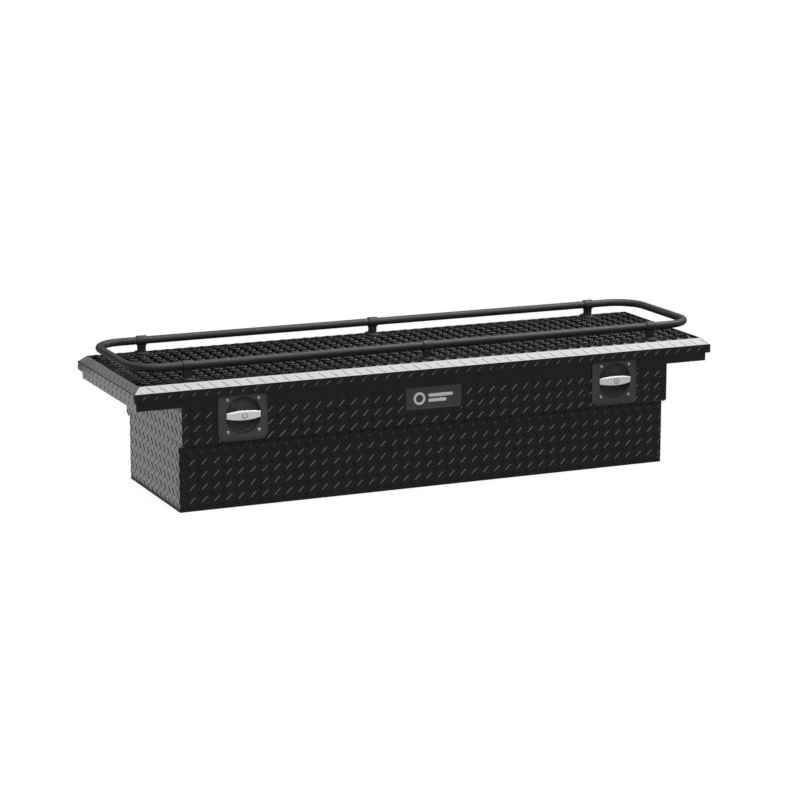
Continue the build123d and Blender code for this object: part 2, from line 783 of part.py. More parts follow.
def lid_striker(x):
    """Folded striker: a flange on the liner, an upright and a tongue for the cam's finger."""
    half = striker_width / 2
    upright_y = (striker_y, striker_y + striker_sheet)
    low = tongue_z - striker_sheet
    striker = block((x - half, x + half), upright_y, (low, liner_z))
    flange_y = (striker_y, striker_y + striker_sheet + striker_flange)
    striker += block((x - half, x + half), flange_y, (liner_z - striker_sheet, liner_z))
    tongue_x = (x - tongue_half_width, x + tongue_half_width)
    striker += block(tongue_x, (tongue_front_y, striker_y), (low, tongue_z))
    for px, py in striker_rivet_points():
        striker -= round_z(rivet_radius + rivet_clearance, (liner_z - 5, liner_z + 1), px, py)
    return striker


def strut_foot_bracket(side):
    """Angle spot-welded to the saddle floor, with the ball stud for the strut's lower end."""
    floor_z = saddle_z + sheet
    upright_x = sorted((side * bracket_x, side * (bracket_x + bracket_sheet)))
    flange_x = sorted((side * bracket_x, side * (bracket_x + bracket_sheet + bracket_flange)))
    y_range = (strut_foot_y - bracket_width / 2, strut_foot_y + bracket_width / 2)
    bracket = block(upright_x, y_range, (floor_z, strut_foot_z + socket_radius))
    bracket += block(flange_x, y_range, (floor_z, floor_z + bracket_sheet))
    shank_x = sorted((side * strut_x, side * (bracket_x + 1)))
    bracket += round_x(ball_shank_radius, shank_x, strut_foot_y, strut_foot_z)
    bracket += Pos(side * strut_x, strut_foot_y, strut_foot_z) * Rot(0, side * 90, 0) * Sphere(ball_radius)
    return bracket


def strut_head_bracket(side):
    """Angle under the liner with the pin that meets the strut's upper end."""
    upright_x = sorted((side * bracket_x, side * (bracket_x + bracket_sheet)))
    flange_x = sorted((side * bracket_x, side * (bracket_x + bracket_sheet + bracket_flange)))
    y_range = (strut_head_y - bracket_width / 2, strut_head_y + bracket_width / 2)
    bracket = block(upright_x, y_range, (strut_head_z - socket_radius, liner_z))
    bracket += block(flange_x, y_range, (liner_z - bracket_sheet, liner_z))
    pin_x = sorted((side * (strut_x + socket_width / 2 + open_pivot_gap), side * (bracket_x + 1)))
    bracket += round_x(open_pivot_pin_radius, pin_x, strut_head_y, strut_head_z)
    for y in strut_head_rivet_y:
        bracket -= round_z(rivet_radius + rivet_clearance, (liner_z - 5, liner_z + 1), bracket_rivet_x(side), y)
    return bracket


def lid_bracket_rivets():
    """Rivets of the strikers and the upper strut brackets, through the liner."""
    striker_rivets = [
        rivet((0, 0, -1), x, y, liner_z - striker_sheet, striker_sheet + liner_sheet)
        for x, y in striker_rivet_points()
    ]
    strut_rivets = [
        rivet((0, 0, -1), bracket_rivet_x(side), y, liner_z - bracket_sheet, bracket_sheet + liner_sheet)
        for side in (-1, 1)
        for y in strut_head_rivet_y
    ]
    return Compound(striker_rivets + strut_rivets)


# Gas struts, drawn along their own +X axis from the lower pivot and then laid in place
closed_length = hypot(strut_head_y - strut_foot_y, strut_head_z - strut_foot_z)
strut_angle = degrees(atan2(strut_head_z - strut_foot_z, strut_head_y - strut_foot_y))
tube_start = socket_neck_length
tube_end = closed_length - socket_neck_length - strut_rod_shown


def lay_strut(shape, side):
    """Turn a strut piece from its own axis to its place beside the lid."""
    along = Plane(
        origin=(side * strut_x, strut_foot_y, strut_foot_z),
        x_dir=(0, cos(radians(strut_angle)), sin(radians(strut_angle))),
        z_dir=(side, 0, 0),
    )
    return along * shape


def eye_socket(x, toward):
    """End fitting: a round socket open on the bracket's side, with a neck towards the strut."""
    socket = Pos(x, 0, 0) * Cylinder(socket_radius, socket_width)
    neck = round_x(socket_neck_radius, sorted((x, x + toward * socket_neck_length)), 0, 0)
    bore = Pos(x, 0, socket_floor) * Cylinder(ball_radius + ball_clearance, socket_width)
    return socket + neck - bore


def strut_cylinder(side):
    """Lower socket and the closed end of the pressure tube."""
    tube = round_x(strut_tube_radius, (tube_start, tube_end), 0, 0)
    tube -= round_x(strut_tube_radius - strut_tube_wall, (tube_start + strut_end_wall, tube_end + 1), 0, 0)
    return lay_strut(eye_socket(0, 1) + tube, side)


def strut_gland(side):
    """Rod guide pressed into the open end of the tube."""
    outer = strut_tube_radius - strut_tube_wall
    gland = round_x(outer, (tube_end - strut_gland_length, tube_end), 0, 0)
    gland -= round_x(strut_rod_radius + strut_rod_clearance, (0, tube_end + 1), 0, 0)
    return lay_strut(gland, side)


def strut_rod(side):
    """Rod with its piston inside the tube and the upper socket outside."""
    piston_low = tube_start + strut_end_wall + strut_piston_start
    piston_radius = strut_tube_radius - strut_tube_wall - strut_piston_clearance
    rod = round_x(strut_rod_radius, (piston_low, closed_length - socket_neck_length), 0, 0)
    rod += round_x(piston_radius, (piston_low, piston_low + strut_piston_length), 0, 0)
    return lay_strut(rod + eye_socket(closed_length, -1), side)


# Nameplate: a plain plate on four rivets
def nameplate():
    """Blank plate with rounded corners."""
    plane = Plane(origin=(0, -rim_y, nameplate_z), x_dir=(1, 0, 0), z_dir=(0, -1, 0))
    plate = plane * extrude(
        RectangleRounded(nameplate_length, nameplate_height, nameplate_corner), nameplate_thickness
    )
    for x, y, z in nameplate_rivet_points:
        radius = nameplate_rivet_radius + rivet_clearance
        plate -= round_y(radius, (y - nameplate_thickness - 1, y + 1), x, z)
    return plate


def nameplate_rivets():
    """Four small rivets."""
    grip = nameplate_thickness + sheet
    size = (nameplate_rivet_radius, nameplate_rivet_head_radius, nameplate_rivet_head_height)
    return Compound(
        [rivet((0, -1, 0), x, y - nameplate_thickness, z, grip, *size) for x, y, z in nameplate_rivet_points]
    )


parts = {
    "front_wall": front_wall(),
    "rear_wall": rear_wall(),
    "floor_pan": floor_pan(),
    "weather_seal": weather_seal(),
    "lid_skin": lid_skin(),
    "lid_core": lid_core(),
    "lid_liner": lid_liner(),
    "hinge_body_leaf": hinge_leaf_plate("body"),
    "hinge_lid_leaf": hinge_leaf_plate("lid"),
    "hinge_pin": round_x(pin_radius, (-hinge_length / 2, hinge_length / 2), hinge_y, hinge_z),
    "hinge_body_rivets": hinge_rivet_row("body"),
    "hinge_lid_rivets": hinge_rivet_row("lid"),
    "rail_splices": rail_splices(),
    "rail_post_bolts": foot_bolts(),
    "rail_set_screws": set_screws(),
    "lock_screws": lock_screws(),
    "lock_nuts": lock_nuts(),
    "lid_bracket_rivets": lid_bracket_rivets(),
    "nameplate": nameplate(),
    "nameplate_rivets": nameplate_rivets(),
}
for name, place in post_places.items():
    parts[name] = rail_post(*place)
for name, side in (("left", -1), ("right", 1)):
    parts[f"end_panel_{name}"] = end_panel(side)
    parts[f"rail_tube_{name}"] = rail_tube(side)
    parts[f"strut_foot_bracket_{name}"] = strut_foot_bracket(side)
    parts[f"strut_head_bracket_{name}"] = strut_head_bracket(side)
    parts[f"strut_cylinder_{name}"] = strut_cylinder(side)
    parts[f"strut_gland_{name}"] = strut_gland(side)
    parts[f"strut_rod_{name}"] = strut_rod(side)
for name, x in locks.items():
    parts[f"lock_housing_{name}"] = lock_housing(x)
    parts[f"lock_gasket_{name}"] = lock_gasket(x)
    parts[f"turning_handle_{name}"] = turning_handle(x)
    parts[f"lock_plug_{name}"] = lock_plug(x)
    parts[f"hub_washer_{name}"] = hub_washer(x)
    parts[f"latch_cam_{name}"] = latch_cam(x)
    parts[f"cam_nut_{name}"] = cam_nut(x)
    parts[f"lid_striker_{name}"] = lid_striker(x)

os.makedirs("parts", exist_ok=True)
for name, shape in parts.items():
    export_step(shape, f"parts/{name}.step")
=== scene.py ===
import bpy
import math
from mathutils import Matrix, Vector


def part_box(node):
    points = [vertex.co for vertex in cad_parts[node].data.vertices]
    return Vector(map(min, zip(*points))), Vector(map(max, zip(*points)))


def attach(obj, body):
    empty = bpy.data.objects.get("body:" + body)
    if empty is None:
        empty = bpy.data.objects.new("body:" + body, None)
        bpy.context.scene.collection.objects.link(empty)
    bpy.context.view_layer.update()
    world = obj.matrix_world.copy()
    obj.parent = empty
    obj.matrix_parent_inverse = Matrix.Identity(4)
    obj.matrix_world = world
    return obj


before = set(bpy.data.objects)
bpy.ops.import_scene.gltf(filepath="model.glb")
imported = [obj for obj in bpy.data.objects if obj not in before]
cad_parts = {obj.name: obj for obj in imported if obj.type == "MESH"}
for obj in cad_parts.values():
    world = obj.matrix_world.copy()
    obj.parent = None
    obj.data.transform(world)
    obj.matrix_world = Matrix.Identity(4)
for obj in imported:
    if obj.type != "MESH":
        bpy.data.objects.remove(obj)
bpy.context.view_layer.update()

# The studio: a long lens, far off and above the lid, looking a little down at the lock side.
# The backdrop is white to the eye and dark in reflections, so that black paint stays black.
camera_turn = math.radians(-23.753)
camera_tilt = math.radians(12.248)
camera_distance = 7.8012
camera_target = Vector((-0.0011, -0.0094, 0.2100))
from_target = Vector((
    math.sin(camera_turn) * math.cos(camera_tilt),
    -math.cos(camera_turn) * math.cos(camera_tilt),
    math.sin(camera_tilt),
))
camera = bpy.data.objects.new("camera", bpy.data.cameras.new("camera"))
camera.data.lens = 121.36
camera.data.sensor_width = 36.0
camera.location = camera_target + camera_distance * from_target
camera.rotation_euler = (-from_target).to_track_quat("-Z", "Y").to_euler()
bpy.context.scene.collection.objects.link(camera)
bpy.context.scene.camera = camera
bpy.context.scene.view_settings.view_transform = "Standard"


def add(tree, kind, **values):
    """New node with its unlinked sockets set by name (spaces as underscores)."""
    node = tree.nodes.new(kind)
    for name, value in values.items():
        socket = name.replace("_", " ")
        if socket in node.inputs:
            node.inputs[socket].default_value = value
        else:
            setattr(node, name, value)
    return node


def wire(tree, *links):
    """Links sockets, each link as (node, its output, next node, its input)."""
    for source, output, target, socket in links:
        tree.links.new(source.outputs[output], target.inputs[socket])


world = bpy.data.worlds.new("studio_air")
bpy.context.scene.world = world
world.use_nodes = True
air = world.node_tree
air.nodes.clear()
ray = add(air, "ShaderNodeLightPath")
white_backdrop = add(air, "ShaderNodeBackground", Color=(1.0, 1.0, 1.0, 1.0))
heading = add(air, "ShaderNodeTexCoord")
height_of_ray = add(air, "ShaderNodeSeparateXYZ")
dome_light = add(air, "ShaderNodeMapRange", From_Min=0.46, From_Max=0.82, To_Min=0.003, To_Max=1.5)
dim_room = add(air, "ShaderNodeBackground")
seen_or_lit = add(air, "ShaderNodeMixShader")
air_out = add(air, "ShaderNodeOutputWorld")
wire(air,
     (heading, "Generated", height_of_ray, 0),
     (height_of_ray, "Z", dome_light, "Value"),
     (dome_light, "Result", dim_room, "Color"),
     (ray, "Is Camera Ray", seen_or_lit, "Fac"),
     (dim_room, 0, seen_or_lit, 1),
     (white_backdrop, 0, seen_or_lit, 2),
     (seen_or_lit, 0, air_out, "Surface"))


def softbox(name, toward, distance, size, brightness):
    """Rectangular diffuser that faces the box from the direction `toward`, its length along X."""
    light = bpy.data.lights.new(name, "AREA")
    light.shape = "RECTANGLE"
    light.size, light.size_y = size
    light.energy = brightness * math.pi * size[0] * size[1]
    lamp = bpy.data.objects.new(name, light)
    direction = Vector(toward).normalized()
    lamp.location = camera_target + direction * distance
    along = (Vector((1, 0, 0)) - direction * direction.x).normalized()
    lamp.rotation_euler = Matrix((along, direction.cross(along), direction)).transposed().to_euler()
    lamp.visible_camera = False
    bpy.context.scene.collection.objects.link(lamp)
    return lamp


softbox("overhead_softbox", (0.394, -0.073, 0.916), distance=2.6, size=(3.4, 1.05), brightness=13.5)
softbox("front_softbox", (-0.34, -0.76, 0.55), distance=3.0, size=(2.7, 1.3), brightness=3.0)
softbox("rear_softbox", (-0.343, 0.835, 0.429), distance=4.31, size=(2.2, 1.3), brightness=1.05)

# Two lit cards lie on the floor, one past each end and towards the back, with their bright side up.
# They light the two end panels from low down.
card_size = (1.25, 2.0)
card_brightness = 0.68
card_x, card_y, card_z = 1.38, 0.74, 0.004
for side, end in ((-1, "left"), (1, "right")):
    card = softbox(f"floor_card_{end}", (0, 0, 1), 1.0, card_size, card_brightness)
    card.location = (side * card_x, card_y, card_z)
    card.rotation_euler = (math.pi, 0, 0)

# The floor stands for matt white paper but glows: plain white to the eye, with a painted contact shadow
# close round the box from an occlusion mask, and a dim grey glow in reflections and bounce light.
# Past its edge the backdrop is just as white. The level leaves room for the lugs under the tub.
floor_level = -0.0014
floor_half = 15.0
floor_mesh = bpy.data.meshes.new("floor")
floor_corners = [(x * floor_half, y * floor_half, floor_level)
                 for x, y in ((-1, -1), (1, -1), (1, 1), (-1, 1))]
floor_mesh.from_pydata(floor_corners, [], [(0, 1, 2, 3)])
floor = bpy.data.objects.new("floor", floor_mesh)
bpy.context.scene.collection.objects.link(floor)
floor_glow = bpy.data.materials.new("glowing_floor")
floor_glow.use_nodes = True
sheet_nodes = floor_glow.node_tree
sheet_nodes.nodes.clear()
# Painted contact shadow: the occlusion mask dims the floor's glow close round the box.
contact = add(sheet_nodes, "ShaderNodeAmbientOcclusion", Distance=0.12)
shade = add(sheet_nodes, "ShaderNodeMapRange", From_Min=0.0, From_Max=0.8, To_Min=0.93, To_Max=1.0)
seen_floor_glow = add(sheet_nodes, "ShaderNodeEmission")
reflected_floor_glow = add(sheet_nodes, "ShaderNodeEmission", Color=(0.34, 0.34, 0.33, 1.0))
floor_ray = add(sheet_nodes, "ShaderNodeLightPath")
floor_mix = add(sheet_nodes, "ShaderNodeMixShader")
floor_out = add(sheet_nodes, "ShaderNodeOutputMaterial")
wire(sheet_nodes,
     (contact, "AO", shade, "Value"),
     (shade, "Result", seen_floor_glow, "Color"),
     (floor_ray, "Is Camera Ray", floor_mix, "Fac"),
     (reflected_floor_glow, 0, floor_mix, 1),
     (seen_floor_glow, 0, floor_mix, 2),
     (floor_mix, 0, floor_out, "Surface"))
floor_mesh.materials.append(floor_glow)


# Tread plate: folded aluminium sheet with a semi-gloss black powder coat, baked on after welding.
# The coat has a fine orange peel and a slow change of gloss, and edges rub bright. Corners and the wall
# under
# ledges get painted shade: an occlusion mask makes them rougher, so they reflect less and read darker.
def new_group(name, inputs, outputs):
    """Empty shader node group with named sockets: (name, default) in, names out."""
    group = bpy.data.node_groups.new(name, "ShaderNodeTree")
    for label, value in inputs:
        socket = group.interface.new_socket(label, in_out="INPUT", socket_type="NodeSocketFloat")
        socket.default_value = value
    for label in outputs:
        group.interface.new_socket(label, in_out="OUTPUT", socket_type="NodeSocketFloat")
    return group, group.nodes.new("NodeGroupInput"), group.nodes.new("NodeGroupOutput")


coat_grain, grain_in, grain_out = new_group(
    "coat_grain", [("Grain Scale", 700.0), ("Mottle Scale", 9.0)], ["Height", "Mottle"]
)
place = add(coat_grain, "ShaderNodeTexCoord")
peel = add(coat_grain, "ShaderNodeTexNoise", Detail=2.0, Roughness=0.5)
patches = add(coat_grain, "ShaderNodeTexNoise", Detail=4.0, Roughness=0.6)
wire(coat_grain,
     (place, "Object", peel, "Vector"),
     (place, "Object", patches, "Vector"),
     (grain_in, "Grain Scale", peel, "Scale"),
     (grain_in, "Mottle Scale", patches, "Scale"),
     (peel, "Fac", grain_out, "Height"),
     (patches, "Fac", grain_out, "Mottle"))

edge_wear, wear_in, wear_out = new_group("edge_wear", [("Breakup Scale", 60.0), ("Amount", 0.5)], ["Wear"])
rounded = add(edge_wear, "ShaderNodeBevel", samples=4, Radius=0.0012)
shape = add(edge_wear, "ShaderNodeNewGeometry")
facing = add(edge_wear, "ShaderNodeVectorMath", operation="DOT_PRODUCT")
spotty = add(edge_wear, "ShaderNodeTexNoise", Detail=5.0, Roughness=0.7)
edge_place = add(edge_wear, "ShaderNodeTexCoord")
edge_only = add(edge_wear, "ShaderNodeMapRange", From_Min=0.995, From_Max=0.90)
broken = add(edge_wear, "ShaderNodeMapRange", From_Min=0.40, From_Max=0.62)
both = add(edge_wear, "ShaderNodeMath", operation="MULTIPLY")
scaled = add(edge_wear, "ShaderNodeMath", operation="MULTIPLY")
wire(edge_wear,
     (rounded, "Normal", facing, 0),
     (shape, "Normal", facing, 1),
     (facing, "Value", edge_only, "Value"),
     (edge_place, "Object", spotty, "Vector"),
     (wear_in, "Breakup Scale", spotty, "Scale"),
     (spotty, "Fac", broken, "Value"),
     (edge_only, "Result", both, 0),
     (broken, "Result", both, 1),
     (both, 0, scaled, 0),
     (wear_in, "Amount", scaled, 1),
     (scaled, 0, wear_out, "Wear"))

# Painted shade: an ambient-occlusion mask raises roughness in corners and under ledges and skirts, so they
# reflect less and read darker.
painted_corner_shade, shade_in, shade_out = new_group("painted_corner_shade", [("Reach", 0.03)], ["Corner"])
nook = add(painted_corner_shade, "ShaderNodeAmbientOcclusion", samples=4)
closed_in = add(painted_corner_shade, "ShaderNodeMapRange", From_Min=0.68, From_Max=0.38)
wire(painted_corner_shade,
     (shade_in, "Reach", nook, "Distance"),
     (nook, "AO", closed_in, "Value"),
     (closed_in, "Result", shade_out, "Corner"))


def new_material(name, **shader_values):
    """Material with one Principled shader whose plain sockets are set by name."""
    material = bpy.data.materials.new(name)
    material.use_nodes = True
    tree = material.node_tree
    shader = tree.nodes["Principled BSDF"]
    for socket, value in shader_values.items():
        shader.inputs[socket.replace("_", " ")].default_value = value
    return material, tree, shader


def grey(level, warmth=0.0):
    """Neutral colour, a little warmer or colder."""
    return (level * (1 + warmth), level, level * (1 - warmth), 1.0)


def place_group(tree, group, **values):
    """Group node with its inputs set by name."""
    return add(tree, "ShaderNodeGroup", node_tree=group, **values)


first_colour, second_colour, mixed_colour = 6, 7, 2


def colour_mix(tree, first, second):
    """Mix node for two colours; the three numbers above are the places of its colour sockets."""
    node = add(tree, "ShaderNodeMix", data_type="RGBA")
    node.inputs[first_colour].default_value = first
    node.inputs[second_colour].default_value = second
    return node


def painted(name, colour, worn_colour, gloss, grain_scale, grain_depth, wear,
            mottle=9.0, shade_reach=0.02, gloss_level=0.5):
    """Sprayed or powder-coated metal: peel in the bump, mottled gloss, rubbed edges, and painted shade as
    rougher corners.
    """
    material, tree, shader = new_material(name, Specular_IOR_Level=gloss_level)
    grain = place_group(tree, coat_grain, Grain_Scale=grain_scale, Mottle_Scale=mottle)
    rubbed = place_group(tree, edge_wear, Breakup_Scale=70.0, Amount=wear)
    tint = colour_mix(tree, colour, worn_colour)
    rough = add(tree, "ShaderNodeMapRange", From_Min=0.3, From_Max=0.7, To_Min=gloss[0], To_Max=gloss[1])
    corner = place_group(tree, painted_corner_shade, Reach=shade_reach)
    matt = add(tree, "ShaderNodeMix", B=0.95)
    bump = add(tree, "ShaderNodeBump", Strength=0.35, Distance=grain_depth)
    wire(tree,
         (corner, "Corner", matt, "Factor"),
         (rough, "Result", matt, "A"),
         (rubbed, "Wear", tint, "Factor"),
         (tint, mixed_colour, shader, "Base Color"),
         (grain, "Mottle", rough, "Value"),
         (matt, "Result", shader, "Roughness"),
         (grain, "Height", bump, "Height"),
         (bump, "Normal", shader, "Normal"))
    return material


def paint(material, *nodes):
    """Puts a material on CAD pieces."""
    for node in nodes:
        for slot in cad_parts[node].material_slots:
            slot.material = material


# The tub and the lid's skin wear that coat. Inside the tub it went on thin and stayed matt:
# there the tub's material turns greyer, by a mask that finds the faces looking inwards.
inward, _, inward_out = new_group("inward", [], ["Inside"])
here = add(inward, "ShaderNodeNewGeometry")
from_middle = add(inward, "ShaderNodeVectorMath", operation="SUBTRACT")
from_middle.inputs[1].default_value = (0.0, 0.0, 0.5)
looking_in = add(inward, "ShaderNodeVectorMath", operation="DOT_PRODUCT")
inside_mask = add(inward, "ShaderNodeMapRange", From_Min=0.0, From_Max=-0.02)
wire(inward,
     (here, "Position", from_middle, 0),
     (from_middle, 0, looking_in, 0),
     (here, "Normal", looking_in, 1),
     (looking_in, "Value", inside_mask, "Value"),
     (inside_mask, "Result", inward_out, "Inside"))

black_tread = painted("black_tread", grey(0.0016), grey(0.05), gloss=(0.11, 0.16), grain_scale=900.0,
                      grain_depth=0.00005, wear=0.35, shade_reach=0.045)
paint(black_tread, "lid_skin")

tub_coat = black_tread.copy()
tub_coat.name = "tub_coat"
tub_tree = tub_coat.node_tree
tub_shader = tub_tree.nodes["Principled BSDF"]
inside = place_group(tub_tree, inward)
thin_colour = colour_mix(tub_tree, grey(0.0016), grey(0.020))
thin_gloss = add(tub_tree, "ShaderNodeMix", B=0.42)
tub_tree.links.new(tub_shader.inputs["Base Color"].links[0].from_socket,
                   thin_colour.inputs[first_colour])
tub_tree.links.new(tub_shader.inputs["Roughness"].links[0].from_socket, thin_gloss.inputs["A"])
for thin, changed, socket in (
    (thin_colour, mixed_colour, "Base Color"),
    (thin_gloss, "Result", "Roughness"),
):
    wire(tub_tree,
         (inside, "Inside", thin, "Factor"),
         (thin, changed, tub_shader, socket))
paint(tub_coat, "front_wall", "rear_wall", "floor_pan", "end_panel_left", "end_panel_right")

# Tread lugs, rolled into the outer side of the sheet: low bars with sloped flanks in two directions,
# each row set between the next. Those on a folded edge were pressed nearly flat by the fold.
lug_pitch = 0.0355
lug_half_length = 0.0135
lug_half_width = 0.0031
lug_height = 0.0012
lug_sink = 0.0002
lug_outline = [(1, 0), (0.94, 0.60), (0.78, 1), (-0.78, 1), (-0.94, 0.60),
               (-1, 0), (-0.94, -0.60), (-0.78, -1), (0.78, -1), (0.94, -0.60)]
lug_rings = [(1.0, 1.0, -lug_sink), (0.92, 0.42, 0.90 * lug_height), (0.85, 0.24, lug_height)]
lug_edge_slack = 0.001
lug_cover_inset = 0.009


def lug_points(slant):
    """One lug as rings of (u, v, height) points, leaning to the right (1) or the left (-1)."""
    points = []
    for long, wide, up in lug_rings:
        for share_long, share_wide in lug_outline:
            along = lug_half_length * long * share_long / math.sqrt(2)
            across = lug_half_width * wide * share_wide / math.sqrt(2)
            points.append((along - slant * across, slant * along + across, up))
    return points


lug_shapes = {slant: lug_points(slant) for slant in (1, -1)}
lug_sides = len(lug_outline)
lug_faces = [tuple(range(lug_sides))[::-1]]
for ring in range(len(lug_rings) - 1):
    for k in range(lug_sides):
        low, high = ring * lug_sides, (ring + 1) * lug_sides
        after = (k + 1) % lug_sides
        lug_faces.append((low + k, low + after, high + after, high + k))
lug_faces.append(tuple(range((len(lug_rings) - 1) * lug_sides, len(lug_rings) * lug_sides)))


def tread_field(origin, across, up, low, high, half_width, phase=(0.0, 0.0), covered=(), press=1.0):
    """Lugs on one flat face, as vertices and faces, cut off where the face ends.

    across and up are unit vectors in the face, which runs from low to high along up and to
    half_width(v) each side of the origin. covered holds (u0, v0, u1, v1) boxes with no lugs,
    and press scales the lugs' height.
    """
    origin, across, up = Vector(origin), Vector(across), Vector(up)
    outward = across.cross(up)
    verts, faces = [], []
    columns = int((max(half_width(low), half_width(high)) + abs(phase[0])) / lug_pitch) + 2
    rows = range(int((low - phase[1]) / lug_pitch) - 2, int((high - phase[1]) / lug_pitch) + 3)
    for slant, shift in ((1, 0.0), (-1, 0.5)):
        for column in range(-columns, columns + 1):
            for row in rows:
                u = phase[0] + (column + shift) * lug_pitch
                v = phase[1] + (row + shift) * lug_pitch
                if not low - lug_edge_slack < v < high + lug_edge_slack:
                    continue
                if abs(u) > half_width(min(max(v, low), high)) + lug_edge_slack:
                    continue
                if any(u0 < u < u1 and v0 < v < v1 for u0, v0, u1, v1 in covered):
                    continue
                start = len(verts)
                for du, dv, rise in lug_shapes[slant]:
                    lug_v = min(max(v + dv, low), high)
                    edge = half_width(lug_v)
                    lug_u = min(max(u + du, -edge), edge)
                    verts.append(origin + across * lug_u + up * lug_v + outward * (rise * press))
                faces.extend(tuple(start + i for i in face) for face in lug_faces)
    return verts, faces


def mesh_piece(name, parts, material, body):
    """Flat-shaded piece made of several lists of vertices and faces, riding on a body."""
    verts, faces = [], []
    for part_verts, part_faces in parts:
        start = len(verts)
        verts.extend(part_verts)
        faces.extend(tuple(start + i for i in face) for face in part_faces)
    mesh = bpy.data.meshes.new(name)
    mesh.from_pydata(verts, [], faces)
    mesh.update()
    mesh.materials.append(material)
    piece = bpy.data.objects.new(name, mesh)
    bpy.context.scene.collection.objects.link(piece)
    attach(piece, body)


def straight(value):
    """Half width of a face with parallel sides."""
    return lambda v: value


def hidden_by(node, u_axis, v_axis, inset=lug_cover_inset):
    """Box (u0, v0, u1, v1) inside what a CAD piece covers; lugs still show at its edge."""
    low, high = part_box(node)
    return (low[u_axis] + inset, low[v_axis] + inset, high[u_axis] - inset, high[v_axis] - inset)


def around(u, v, room):
    """Box (u0, v0, u1, v1) that reaches `room` to each side of a point."""
    return (u - room, v - room, u + room, v + room)


sheet = 0.0016
step_outer_z = 0.191
step_inner_z = 0.184
cut_edge = 0.0015
wall_low, wall_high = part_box("front_wall")
tub_half = -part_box("floor_pan")[0][0] + sheet
tub_face_y = -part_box("floor_pan")[0][1] + sheet
rim_face_y = -wall_low[1]
rim_half = wall_high[0]
rim_top_z = wall_high[2]
saddle_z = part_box("strut_foot_bracket_left")[0][2] - sheet
step_ledge = Vector((0, rim_face_y - tub_face_y, step_outer_z - step_inner_z))
lower_row_z = 0.0294
upper_row_x, upper_row_z = 0.006, 0.2000
floor_row_y = 0.023

over_front = [hidden_by("lock_housing_left", 0, 2), hidden_by("lock_housing_right", 0, 2),
              hidden_by("nameplate", 0, 2, -lug_cover_inset)]
for name, turn, over in (("front_wall_lugs", 1, over_front), ("rear_wall_lugs", -1, [])):
    along, ledge = (turn, 0, 0), Vector((0, -turn * step_ledge.y, step_ledge.z))
    outer, inner = (0, -turn * rim_face_y, 0), (0, -turn * tub_face_y, 0)
    mesh_piece(name, [
        tread_field(inner, along, (0, 0, 1), cut_edge, step_inner_z - cut_edge, straight(tub_half),
                    (0.0, lower_row_z)),
        tread_field((0, inner[1], step_inner_z), along, ledge.normalized(), cut_edge,
                    ledge.length - cut_edge, straight(tub_half - cut_edge), (0.0, ledge.length / 2)),
        tread_field(outer, along, (0, 0, 1), step_outer_z + cut_edge, saddle_z - cut_edge,
                    straight(tub_half), (upper_row_x, upper_row_z), over),
    ], black_tread, "box")

saddle_middle_x = (rim_half + tub_half) / 2
saddle_half = (rim_half - tub_half) / 2 - cut_edge
clamp_hole_from_tub = 0.0425
clamp_hole_y = 0.150
clamp_hole_cover = 0.018
clamp_hole_u = tub_half + clamp_hole_from_tub - saddle_middle_x
clamp_holes = [around(clamp_hole_u, y, clamp_hole_cover) for y in (-clamp_hole_y, clamp_hole_y)]
for side, name in ((-1, "left"), (1, "right")):
    along = (0, side, 0)
    tub_end, saddle_end = (side * tub_half, 0, 0), (side * rim_half, 0, 0)
    mesh_piece(f"end_lugs_{name}", [
        tread_field(tub_end, along, (0, 0, 1), cut_edge, step_inner_z, straight(tub_face_y - cut_edge),
                    (0.0, lower_row_z)),
        tread_field(tub_end, along, (0, 0, 1), step_inner_z, saddle_z - cut_edge,
                    straight(rim_face_y - cut_edge), (0.0, lower_row_z)),
        tread_field(saddle_end, along, (0, 0, 1), saddle_z + cut_edge, rim_top_z - cut_edge,
                    straight(rim_face_y - cut_edge), (0.0, lower_row_z)),
        tread_field((side * saddle_middle_x, 0, saddle_z), (side, 0, 0), (0, -side, 0),
                    -rim_face_y + cut_edge, rim_face_y - cut_edge, straight(saddle_half),
                    covered=clamp_holes),
    ], black_tread, "box")
mesh_piece("floor_lugs", [
    tread_field((0, 0, 0), (1, 0, 0), (0, -1, 0), -tub_face_y + cut_edge, tub_face_y - cut_edge / 2,
                straight(tub_half - 2 * sheet), (0.0, floor_row_y)),
], black_tread, "box")

# The lid: one sheet of the same tread plate, with a bevel all round and a short skirt, folded and
# welded at the corners. The rail's feet and the hinge's rivets are fixed over its lugs, and the
# folds pressed the bevels' lugs nearly flat.
bevel_run = 0.021
bevel_drop = 0.018
bevel_press = 0.22
skirt_row_share = 0.6
lid_low, lid_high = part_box("lid_skin")
bevel_z = lid_high[2] - bevel_drop
bevel_width = math.hypot(bevel_run, bevel_drop)
skirt_height = bevel_z - lid_low[2]
top_half = lid_high[0] - bevel_run - cut_edge
top_depth = lid_high[1] - bevel_run - cut_edge
bevel_taper = bevel_run / bevel_width
post_names = [f"rail_post_{row}_{place}"
              for row in ("front", "rear") for place in ("left", "middle", "right")]
lid_fields = [
    tread_field((0, 0, lid_high[2]), (1, 0, 0), (0, 1, 0), -top_depth, top_depth, straight(top_half),
                covered=[hidden_by(post, 0, 1) for post in post_names]),
]
rivet_low, rivet_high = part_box("hinge_lid_rivets")
rivet_z = (rivet_low[2] + rivet_high[2]) / 2 - lid_low[2]
rivet_room = 0.011
rivets_per_metre = 10
rivets_each_side = 8
hinge_rivets = [around(k / rivets_per_metre, rivet_z, rivet_room)
                for k in range(-rivets_each_side, rivets_each_side + 1)]


def bevel_half(reach):
    """Half width of a bevel, which narrows towards the lid's top."""
    return lambda v: reach - bevel_taper * v - 2 * cut_edge


